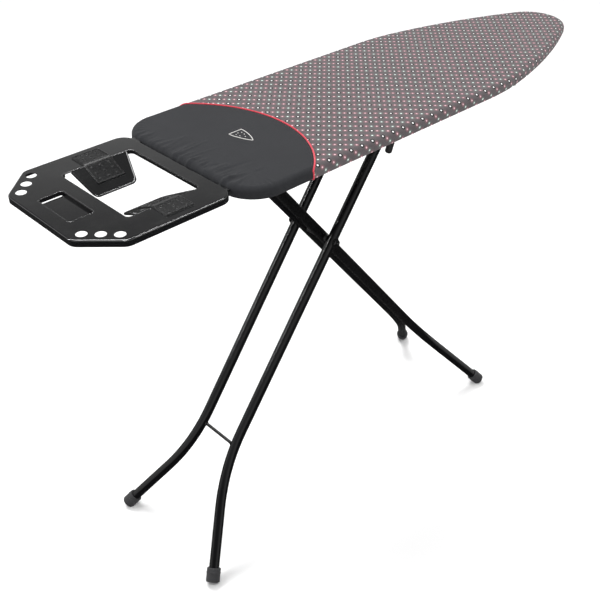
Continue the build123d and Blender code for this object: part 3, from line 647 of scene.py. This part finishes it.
def skirt_point(foot, normal, arc, row):
    """One point of the edge, skirt or hem, and its place on the flat cloth."""
    inset, height, length = row
    place = foot - normal * inset
    flat = foot - normal * (EDGE_R - length)
    x = place.x
    if normal.y != 0 and abs(normal.x) < 1e-6:
        x += seam_warp(place.x, flat.y)
    lift = gather_lift(foot.x - normal.x * EDGE_R, foot.y - normal.y * EDGE_R) \
        if foot.x < GATHER_X else 0.0
    on_skirt = ease((length - EDGE_R) / 0.012) * (1 - ease((length - 0.022) / 0.006))
    out = lift * 0.7 * (1 - ease(length / 0.03)) \
        + 0.35 * MM * on_skirt * wave_train(arc, 13.0, 0.021)
    rise = lift * (1 - ease(length / EDGE_R)) \
        + hem_gather(arc, ease((length - 0.026) / 0.02))
    drop = 0.3 * MM * (1 - min(1.0, length / CLOTH_REACH))
    point = (x + normal.x * out, place.y + normal.y * out, height + rise - drop)
    return point, (flat.x + (x - place.x), flat.y)


def build_cover():
    """One wrapped sheet: top, edge, skirt and hem, cut in two along the seam."""
    loop = loop_at(STATIONS, EDGE_R)
    seam = seam_points()
    count = len(loop)
    seam_ends = [min(range(count), key=lambda i: (loop[i] - end).length)
                 for end in (seam[0], seam[-1])]
    coords, faces, last_row = cover_top(loop, seam, seam_ends)
    vertices = [(p.x, p.y, top_height(p.x, p.y)) for p in coords]
    cloth = [(p.x, p.y) for p in coords]

    low, high = sorted(seam_ends)
    shares = {False: [], True: []}      # faces of the patterned cloth, of the black end
    for face in faces:
        x = sum(vertices[i][0] for i in face) / len(face)
        y = sum(vertices[i][1] for i in face) / len(face)
        shares[math.hypot(x - SEAM_CENTRE_X, y) < SEAM_R].append(face)
    arcs = arc_lengths(STATIONS)
    for row in edge_profile():
        base = len(vertices)
        for (foot, normal), arc in zip(STATIONS, arcs):
            point, flat = skirt_point(foot, normal, arc, row)
            vertices.append(point)
            cloth.append(flat)
        for i in range(count):
            j = (i + 1) % count
            shares[i < low or i >= high].append([last_row[i], last_row[j], base + j, base + i])
        last_row = range(base, base + count)
    return (cloth_piece("cover_patterned_cloth", "patterned_cotton", vertices, cloth,
                        shares[False]),
            cloth_piece("cover_end_cloth", "black_cotton", vertices, cloth, shares[True]))


def cloth_piece(name, slot, vertices, cloth, faces):
    used = sorted({i for face in faces for i in face})
    renumber = {old: new for new, old in enumerate(used)}
    mesh = listed_mesh(name, [vertices[i] for i in used],
                       [[renumber[i] for i in face] for face in faces],
                       [cloth[i] for i in used])
    shaper = bmesh.new()
    shaper.from_mesh(mesh)
    bmesh.ops.recalc_face_normals(shaper, faces=shaper.faces)
    top = max(shaper.faces, key=lambda f: f.calc_center_median().z)
    if top.normal.z < 0:
        bmesh.ops.reverse_faces(shaper, faces=shaper.faces)
    shaper.to_mesh(mesh)
    shaper.free()
    piece = add_piece(name, mesh, slot)
    solidify(piece, CLOTH_T)
    smooth(piece, 60)
    return piece


cover_main, cover_end = build_cover()
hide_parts("cover_patterned")
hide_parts("cover_end_panel")


# ---- piping over the seam ----
def build_piping():
    """Round cord in a red binding, over the top and down both sides into the hem."""
    radius = 1.6 * MM
    lift = 0.2 * MM
    side = []
    for inset, height, length in edge_profile()[:-4]:
        flat = HALF_WIDTH - EDGE_R + length
        out = HALF_WIDTH - inset
        normal_out = min(1.0, length / EDGE_R)
        side.append((seam_x(flat), out + lift * normal_out,
                     height + (lift if length < EDGE_R else 0)))
    top = [(p.x, p.y, COVER_TOP + lift - 0.3 * MM) for p in seam_points()]
    mirrored = [(x, -y, z) for x, y, z in reversed(side)]
    piping = tube_curve("cover_piping_cord", mirrored + top + side, radius, "red_piping",
                        resolution=4)
    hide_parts("cover_piping")
    return piping


piping = build_piping()


def build_seam_stitches():
    """Top stitches on the black side of the piping."""
    stitches = bmesh.new()
    inner = SEAM_R - 5.0 * MM
    limit = math.asin(TOP_EDGE_Y / inner)
    pitch = 3.2 * MM
    count = int(2 * limit * inner / pitch)
    for i in range(count):
        a = limit * (2 * (i + 0.5) / count - 1)
        centre = Vector((SEAM_CENTRE_X + inner * math.cos(a), inner * math.sin(a), 0))
        centre.z = top_height(centre.x, centre.y) + 0.12 * MM
        along = Vector((-math.sin(a), math.cos(a), 0))
        add_stitch(stitches, centre, along, Vector((0, 0, 1)), 2.2 * MM, 0.28 * MM)
    piece = add_piece("seam_stitches", shaped_mesh("seam_stitches", stitches), "black_cotton",
                      material="black_thread")
    smooth(piece, 60)
    return piece


def add_stitch(shaper, centre, along, up, length, radius):
    """One stitch: a thread that rises in its middle and dips at both ends."""
    side = along.cross(up).normalized()
    rings = []
    for share, lift, thick in ((-0.5, -1.0, 0.55), (-0.25, 0.0, 0.95), (0.0, 0.25, 1.0),
                               (0.25, 0.0, 0.95), (0.5, -1.0, 0.55)):
        middle = centre + along * (share * length) + up * (lift * radius)
        rings.append([shaper.verts.new(middle + (side * math.cos(b) + up * math.sin(b))
                                       * radius * thick)
                      for b in (math.pi * k / 3 for k in range(6))])
    for first, second in zip(rings, rings[1:]):
        for k in range(6):
            shaper.faces.new((first[k], first[(k + 1) % 6], second[(k + 1) % 6], second[k]))
    shaper.faces.new(rings[0][::-1])
    shaper.faces.new(rings[-1])


seam_stitches = build_seam_stitches()


# ---- generic mark on the black end: an iron's sole plate, embroidered ----
def build_pictogram():
    """Pointed arch with a few steam holes, sewn in pale thread."""
    heel = Vector((-0.287, 0.016))
    length, half_width = 50 * MM, 15 * MM

    def sewn(down, across):
        x, y = heel.x + across * half_width, heel.y - down * length
        return (x, y, top_height(x, y) + 0.15 * MM)

    rim = [sewn(i / 24, math.cos(i / 24 * math.pi / 2) ** 0.8) for i in range(25)]
    rim += [sewn(i / 24, -math.cos(i / 24 * math.pi / 2) ** 0.8) for i in range(23, -1, -1)]
    rim += [sewn(0, -1 + i / 6) for i in range(1, 12)]
    tube_curve("mark_outline", rim, 0.8 * MM, "black_cotton", cyclic=True,
               material="white_thread")
    holes = ((0.22, -0.45), (0.22, 0.45), (0.40, -0.36), (0.40, 0.36), (0.58, 0.0), (0.16, 0.0))
    for number, (down, across) in enumerate(holes):
        dash = [sewn(down + k * 0.02, across) for k in (-1, 0, 1)]
        tube_curve(f"mark_hole_{number}", dash, 0.8 * MM, "black_cotton",
                   material="white_thread")


build_pictogram()


# ---- hem cord: gathered channel under the rim ----
def build_hem_cord():
    """Cord inside the hem: a crimped tube all round, just inside the hem's edge."""
    stations = outline_stations()
    count = len(stations)
    sides = 10
    cord_r = 1.9                # millimetres, before the crimps
    centre_inset = HEM_DEPTH - 2 * MM
    vertices = []
    cloth = []
    for (foot, normal), arc in zip(stations, arc_lengths(stations)):
        crimp = wave_train(arc, 21.0, 0.015) + 0.6 * wave_train(arc, 33.0, 0.0075)
        for k in range(sides):
            turn = 2 * math.pi * k / sides
            radius = (cord_r + 0.35 * crimp * math.cos(2 * turn)) * MM
            place = foot - normal * (centre_inset + radius * math.cos(turn))
            height = SKIRT_BOTTOM - 0.9 * MM + radius * math.sin(turn) + 0.5 * crimp * MM
            vertices.append((place.x, place.y, height))
            cloth.append((arc, cord_r * MM * turn))
    faces = [(i * sides + k, i * sides + (k + 1) % sides,
              (i + 1) % count * sides + (k + 1) % sides, (i + 1) % count * sides + k)
             for i in range(count) for k in range(sides)]
    mesh = listed_mesh("hem_channel", vertices, faces, cloth)
    outward_faces(mesh)
    piece = add_piece("hem_channel", mesh, "black_cotton")
    smooth(piece, 70)
    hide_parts("cover_hem_cord")
    return piece


hem_channel = build_hem_cord()


# ---- felt underlay ----
def build_underlay():
    """Felt slab with a soft edge; faint noise lumps on its underside, and fainter ones on its
    top.
    """
    low, high = PANEL_TOP + 0.1 * MM, COVER_TOP - 2.6 * MM
    rows = [(4.0 * MM, low), (3.4 * MM, low + 0.4 * MM), (4.6 * MM, low + 1.2 * MM),
            (6.8 * MM, high - 0.8 * MM), (9.6 * MM, high)]
    stations = STATIONS[::2]
    count = len(stations)
    vertices = []
    for row_inset, height in rows:
        for foot, normal in stations:
            place = foot - normal * row_inset
            vertices.append((place.x, place.y, height))
    faces = [(r * count + i, r * count + (i + 1) % count,
              (r + 1) * count + (i + 1) % count, (r + 1) * count + i)
             for r in range(len(rows) - 1) for i in range(count)]
    for row, top in ((0, False), (len(rows) - 1, True)):
        loop = [Vector(vertices[row * count + i][:2]) for i in range(count)]
        inner = top_lattice()[::3]
        edges = [(i, (i + 1) % count) for i in range(count)]
        coords, _, tris, origin, _, _ = delaunay_2d_cdt(loop + inner, edges, [], 1, 1e-7)
        sources = {i: min(o) for i, o in enumerate(origin) if o}
        number = {}
        for i, point in enumerate(coords):
            if i in sources and sources[i] < count:
                number[i] = row * count + sources[i]
            else:
                number[i] = len(vertices)
                lumps = noise.noise(Vector((point.x * 60, point.y * 60, 2.0 if top else 8.0)))
                swell = lumps * 0.35 * MM * (-0.2 if top else 1.0)
                vertices.append((point.x, point.y, rows[row][1] + swell))
        faces += [[number[i] for i in tri] for tri in tris]
    mesh = listed_mesh("felt_underlay", vertices, faces)
    outward_faces(mesh)
    piece = add_piece("felt_underlay", mesh, "felt")
    smooth(piece, 50)
    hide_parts("underlay_pad")
    return piece


underlay = build_underlay()


# ---- expanded steel mesh ----
def diamond_centres(pitch_x, half_y):
    """Centre of every diamond, row by row; odd rows are shifted by half a pitch."""
    row = 0
    y = -HALF_WIDTH
    while y < HALF_WIDTH + 2 * half_y:
        x = BOARD_END_X + (row % 2) * pitch_x / 2
        while x < HALF_LENGTH + pitch_x:
            yield x, y
            x += pitch_x
        y += half_y
        row += 1


def build_expanded_mesh():
    """Slit and stretched sheet: long diamonds with raised, slanting strands."""
    pitch_x, pitch_y = 20 * MM, 8.4 * MM
    strand = 1.5 * MM
    limit = 3.0 * MM            # the rim holds the mesh this far in
    middle = PANEL_UNDER + 0.45 * MM
    tilt = 0.22 * MM            # half the height that a strand leans through

    def clamped(x, y):
        """The point, moved in to the rim's line if it is past it."""
        normal, depth = depth_at(x, y)
        if depth >= limit:
            return x, y
        place = Vector((x, y)) + normal * (depth - limit)
        return place.x, place.y

    shaper = bmesh.new()
    shared = {}

    def corner(x, y):
        """Vertex that neighbouring cells share."""
        key = (round(x / MM, 2), round(y / MM, 2))
        if key not in shared:
            shared[key] = shaper.verts.new((*clamped(x, y), middle))
        return shared[key]

    half_x, half_y = pitch_x / 2, pitch_y / 2
    knot = 2.4 * MM
    cell = [(-half_x, 0), (-knot, half_y), (knot, half_y), (half_x, 0),
            (knot, -half_y), (-knot, -half_y)]
    open_x = 1 - 3.9 * strand / pitch_x
    open_y = 1 - 2.0 * strand / pitch_y
    for x, y in diamond_centres(pitch_x, half_y):
        _, depth = depth_at(x, y)
        if depth < limit:
            continue
        outer = [corner(x + dx, y + dy) for dx, dy in cell]
        hole = []
        for dx, dy in cell:
            lift = tilt * ((dy > 0) - (dy < 0))
            place = clamped(x + dx * open_x, y + dy * open_y)
            hole.append(shaper.verts.new((*place, middle + lift)))
        for k in range(6):
            ring = [outer[k], outer[(k + 1) % 6], hole[(k + 1) % 6], hole[k]]
            if len(set(ring)) == 4:
                try:
                    shaper.faces.new(ring)
                except ValueError:      # clamped cells can share a face
                    pass
    bmesh.ops.dissolve_degenerate(shaper, edges=shaper.edges, dist=0.05 * MM)
    bmesh.ops.recalc_face_normals(shaper, faces=shaper.faces)
    piece = add_piece("expanded_mesh", shaped_mesh("expanded_mesh", shaper), "frame_steel")
    solidify(piece, 0.8 * MM, 0.0)
    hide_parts("mesh_panel")


build_expanded_mesh()


# ---- rolled bead on the rim ----
def build_rim_bead():
    """Round edge of the rim under the skirt, seen from below."""
    height = SKIRT_BOTTOM + 2.8 * MM
    points = [(p.x, p.y, height) for p in loop_at(outline_stations(), 3.9 * MM)]
    tube_curve("rim_bead", points, 1.5 * MM, "frame_steel", cyclic=True)


build_rim_bead()


# ---- rubber pads on the iron rest ----
REST_TOP = 0.915
PAD_X = (-0.561, -0.505)
CREASE_Y = 0.100
PAD_FLAT = 0.040
PAD_SLOPED = 0.0465
TONGUE_SLOPE = math.radians(25)
PAD_T = 3 * MM
PAD_EDGE_R = 1.7 * MM
PAD_FRAME_W = 2.2 * MM      # raised border of each of the pad's two fields
NUB_ROWS = 3
NUB_R = 1.2 * MM
FIELD_DEPTH = 1.2 * MM


def pad_point(along, across, height, side):
    """Point of the pad: along X, across the crease (flat part positive), height above it."""
    blend_r = 5 * MM
    if across > blend_r:
        y, z, tilt = across, 0.0, 0.0
    elif across < -blend_r:
        y = across * math.cos(TONGUE_SLOPE)
        z = across * math.sin(TONGUE_SLOPE)
        tilt = TONGUE_SLOPE
    else:
        share = (blend_r - across) / (2 * blend_r)
        tilt = TONGUE_SLOPE * share
        y = across * (1 - share * (1 - math.cos(TONGUE_SLOPE)))
        z = -blend_r * math.sin(TONGUE_SLOPE) * share * share
    y -= height * math.sin(tilt)
    z += height * math.cos(tilt)
    return (along, side * (CREASE_Y + y), REST_TOP + z)


def pad_relief(u, v):
    """Height of the pad's face: raised frame, sunken field with a grid of nubs."""
    width = PAD_X[1] - PAD_X[0]
    depth_x = min(u, width - u)
    low, high = -PAD_SLOPED, PAD_FLAT
    middle = 2.0 * MM
    if v > middle:
        depth_y = min(v - middle, high - v)
        span, start = high - middle, middle
    elif v < -middle:
        depth_y = min(-middle - v, v - low)
        span, start = -middle - low, low
    else:
        depth_y = 0.0
        span, start = 1.0, 0.0
    outer = min(u, width - u, v - low, high - v)
    height = PAD_T * math.sqrt(max(0.0, 1 - max(0.0, 1 - outer / PAD_EDGE_R) ** 2))
    inside = min(depth_x, depth_y)
    field = ease((inside - PAD_FRAME_W) / (0.8 * MM))
    pitch_u = (width - 2 * PAD_FRAME_W) / NUB_ROWS
    pitch_v = (span - 2 * PAD_FRAME_W) / NUB_ROWS
    cell_u = ((u - PAD_FRAME_W) / pitch_u) % 1 - 0.5
    cell_v = ((v - start - PAD_FRAME_W) / pitch_v) % 1 - 0.5
    far = math.hypot(cell_u * pitch_u, cell_v * pitch_v)
    nub = ease(1 - (far - NUB_R) / (1.4 * MM))
    return height - field * (1 - 1.4 * nub) * FIELD_DEPTH


def build_rest_pad(name, side, node):
    """Pad over the crease between the sheet and a tongue."""
    steps_u, steps_v = 76, 116
    width = PAD_X[1] - PAD_X[0]
    vertices = []
    for layer in range(2):
        for j in range(steps_v + 1):
            for i in range(steps_u + 1):
                u = width * i / steps_u
                v = -PAD_SLOPED + (PAD_SLOPED + PAD_FLAT) * j / steps_v
                height = pad_relief(u, v) if layer else 0.0
                vertices.append(pad_point(PAD_X[0] + u, v, height + 0.05 * MM, side))
    row = steps_u + 1
    plane = row * (steps_v + 1)
    faces = []
    for j in range(steps_v):
        for i in range(steps_u):
            a = j * row + i
            quad = (a, a + 1, a + row + 1, a + row)
            faces.append(quad)
            faces.append(tuple(plane + k for k in reversed(quad)))
    rim = list(range(steps_u)) + [steps_u + j * row for j in range(steps_v)]
    rim += [steps_v * row + i for i in range(steps_u, 0, -1)]
    rim += [j * row for j in range(steps_v, 0, -1)]
    for a, b in zip(rim, rim[1:] + rim[:1]):
        faces.append((a, b, plane + b, plane + a))
    mesh = listed_mesh(name, vertices, faces)
    outward_faces(mesh, merge=0.01 * MM)
    piece = add_piece(name, mesh, "silicone")
    smooth(piece, 60)
    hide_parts(node)


build_rest_pad("pad_left_nubbed", 1, "rest_pad_left")
build_rest_pad("pad_right_nubbed", -1, "rest_pad_right")


# ---- rolled edges of the iron rest ----
def rounded_frame(x, y, radius):
    """Rounded rectangle in plan, as a closed list of (x, y)."""
    points = []
    steps = 8
    corners = ((x[1] - radius, y[1] - radius, 0), (x[0] + radius, y[1] - radius, 90),
               (x[0] + radius, y[0] + radius, 180), (x[1] - radius, y[0] + radius, 270))
    for cx, cy, start in corners:
        for i in range(steps + 1):
            a = math.radians(start + 90 * i / steps)
            points.append((cx + radius * math.cos(a), cy + radius * math.sin(a)))
    return points


OPENING_X = (-0.609, -0.461)
OPENING_R = 10 * MM
WINDOW_X = (-0.6835, -0.6355)
WINDOW_Y = (-0.0485, 0.0485)
WINDOW_R = 5 * MM
HEM_BASE_X = (-0.5865, -0.4735)     # hem rod round a tongue: at the crease, at the tip
HEM_TIP_X = (-0.5785, -0.4965)
HEM_LENGTH = 66.5 * MM
HEM_CORNER = 7.5 * MM


def build_rest_edges():
    """Lip of the big opening and frame of the blank window."""
    opening = rounded_frame(OPENING_X, (-CREASE_Y, CREASE_Y), OPENING_R)
    tube_curve("opening_lip", [(x, y, REST_TOP - 1.2 * MM) for x, y in opening], 1.4 * MM,
               "rest_steel", cyclic=True)
    window = rounded_frame(WINDOW_X, WINDOW_Y, WINDOW_R)
    tube_curve("window_frame", [(x, y, REST_TOP - 0.2 * MM) for x, y in window], 0.8 * MM,
               "rest_steel", cyclic=True)


def build_tongue_hem(name, side):
    """Rod along both sides and the tip of a tongue, with round corners at the tip."""
    runs = []
    for base_x, tip_x, sign in zip(HEM_BASE_X, HEM_TIP_X, (1, -1)):
        lean = (base_x - tip_x) * HEM_CORNER / HEM_LENGTH
        run = [(base_x, 2 * MM), (tip_x + lean, HEM_LENGTH - HEM_CORNER)]
        for i in range(1, 7):
            a = math.pi / 2 * i / 6
            run.append((tip_x + sign * HEM_CORNER * (1 - math.cos(a)),
                        HEM_LENGTH - HEM_CORNER * (1 - math.sin(a))))
        runs.append(run)
    points = [(x, side * (CREASE_Y - down * math.cos(TONGUE_SLOPE)),
               REST_TOP - 1.9 * MM - down * math.sin(TONGUE_SLOPE))
              for x, down in runs[0] + runs[1][::-1]]
    tube_curve(f"tongue_hem_{name}", points, 2.2 * MM, "rest_steel")


build_rest_edges()
build_tongue_hem("left", 1)
build_tongue_hem("right", -1)


# ---- weld beads ----
def weld_ring(name, centre, axis, radius, bead, body):
    """Rippled bead of weld around a tube."""
    axis = Vector(axis).normalized()
    side = axis.orthogonal().normalized()
    other = axis.cross(side)
    drops = 26
    count = drops * 4
    ring = bmesh.new()
    rows = []
    for i in range(count):
        turn = 2 * math.pi * i / count
        out = side * math.cos(turn) + other * math.sin(turn)
        thick = bead * (1 + 0.16 * math.sin(turn * drops))
        middle = Vector(centre) + out * radius
        rows.append([ring.verts.new(middle + (out * math.cos(b) + axis * math.sin(b)) * thick)
                     for b in (2 * math.pi * k / 8 for k in range(8))])
    for i in range(count):
        here, after = rows[i], rows[(i + 1) % count]
        for k in range(8):
            ring.faces.new((here[k], here[(k + 1) % 8], after[(k + 1) % 8], after[k]))
    bmesh.ops.recalc_face_normals(ring, faces=ring.faces)
    smooth(add_piece(name, shaped_mesh(name, ring), "coated_steel", body), 60)


def box_middle(node):
    low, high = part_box(node)
    return (low + high) / 2


def build_welds():
    """Inner legs to the hinge tube, and the thin brace to the outer legs."""
    hinge = box_middle("hinge_tube")
    along_leg = (box_middle("pivot_centre_sleeve") - hinge).normalized()
    brace = box_middle("outer_leg_brace")
    leg_y, tube_r = 26.4 * MM, 11.0 * MM
    from_hinge = 11.5 * MM
    brace_end_y, brace_r = 43.2 * MM, 3.6 * MM
    for name, sign in (("left", 1), ("right", -1)):
        spot = hinge + along_leg * from_hinge + Vector((0, sign * leg_y, 0))
        weld_ring(f"hinge_weld_{name}", spot, along_leg, tube_r, 1.5 * MM, "inner_leg")
        spot = (brace.x, sign * brace_end_y, brace.z)
        weld_ring(f"brace_weld_{name}", spot, (0, 1, 0), brace_r, 1.3 * MM, "outer_leg")


build_welds()


# ---- finish of the carried-over CAD parts ----
def dress_nodes():
    for part in frame["record"]["subparts"]:
        mesh = NODES[part["node"]].data
        mesh.materials.clear()
        mesh.materials.append(FINISH[part["material_slot"]])


dress_nodes()


# ---- floor, light and camera ----
def build_stage():
    """Plain white paper under soft strip lights and an even sky."""
    reach = 60.0
    corners = [(-reach, -reach, 0), (reach, -reach, 0), (reach, reach, 0), (-reach, reach, 0)]
    floor = placed("floor", listed_mesh("floor", corners, [(0, 1, 2, 3)]))
    paper = Graph("floor_paper")
    floor.data.materials.append(paper.set(base=(0.95, 0.95, 0.95), roughness=0.9))
    floor.visible_glossy = False        # gloss black mirrors the dim studio, not the paper

    for name, place, target, size, power in (
            ("key", (-1.3, -1.5, 3.3), (0, 0, 0.6), (1.4, 0.12), 40),
            ("left", (-2.7, 1.5, 2.1), (-0.4, 0, 0.7), (0.10, 1.6), 30),
            ("right", (2.0, -2.5, 2.3), (0.2, 0, 0.5), (0.10, 1.6), 18),
            ("back", (0.7, 1.9, 3.6), (0.1, 0, 0.6), (1.2, 0.12), 20),
            ("edge", (1.1, -0.8, 3.3), (-0.4, -0.1, 0.9), (1.8, 0.22), 26)):
        lamp = bpy.data.lights.new(name, "AREA")
        lamp.shape = "RECTANGLE"
        lamp.size, lamp.size_y = size
        lamp.energy = power
        light = placed(name, lamp)
        light.location = place
        light.rotation_euler = facing(Vector(target) - Vector(place))
    sky = bpy.data.lights.new("sky", "SUN")
    sky.energy = 2.3
    sky.angle = math.radians(35)
    placed("sky", sky).rotation_euler = facing(Vector((-0.15, -0.75, -1.6)))
    bpy.context.scene.view_settings.view_transform = "Standard"


def facing(direction):
    """Rotation of a light or camera that looks this way."""
    return direction.to_track_quat("-Z", "Y").to_euler()


def build_world():
    """White band at the horizon, dim above and below it, so that gloss black stays black."""
    world = bpy.data.worlds.new("studio")
    bpy.context.scene.world = world
    world.use_nodes = True
    tree = world.node_tree
    place = tree.nodes.new("ShaderNodeTexCoord")
    height = tree.nodes.new("ShaderNodeSeparateXYZ")
    tree.links.new(place.outputs["Generated"], height.inputs[0])
    both = tree.nodes.new("ShaderNodeMath")
    both.operation = "MULTIPLY"
    for socket, (low, high, dim, bright) in enumerate(((-0.12, -0.04, 0.05, 1.0),
                                                       (0.16, 0.50, 1.0, 0.17))):
        fall = tree.nodes.new("ShaderNodeMapRange")
        for key, value in (("From Min", low), ("From Max", high), ("To Min", dim),
                           ("To Max", bright)):
            fall.inputs[key].default_value = value
        tree.links.new(height.outputs["Z"], fall.inputs["Value"])
        tree.links.new(fall.outputs["Result"], both.inputs[socket])
    tree.links.new(both.outputs[0], tree.nodes["Background"].inputs["Strength"])
    tree.nodes["Background"].inputs["Color"].default_value = (1, 1, 1, 1)


def build_camera():
    camera_data = bpy.data.cameras.new("camera")
    camera_data.lens = 54.83
    camera_data.sensor_width = 36.0
    camera_data.clip_end = 200.0
    camera = placed("camera", camera_data)
    azimuth, elevation = math.radians(-43.59), math.radians(35.41)
    back = Vector((math.sin(azimuth) * math.cos(elevation),
                   -math.cos(azimuth) * math.cos(elevation), math.sin(elevation)))
    camera.location = (-1.2754, -1.1964, 1.6470)
    camera.rotation_euler = facing(-back)
    bpy.context.scene.camera = camera


build_stage()
build_world()
build_camera()
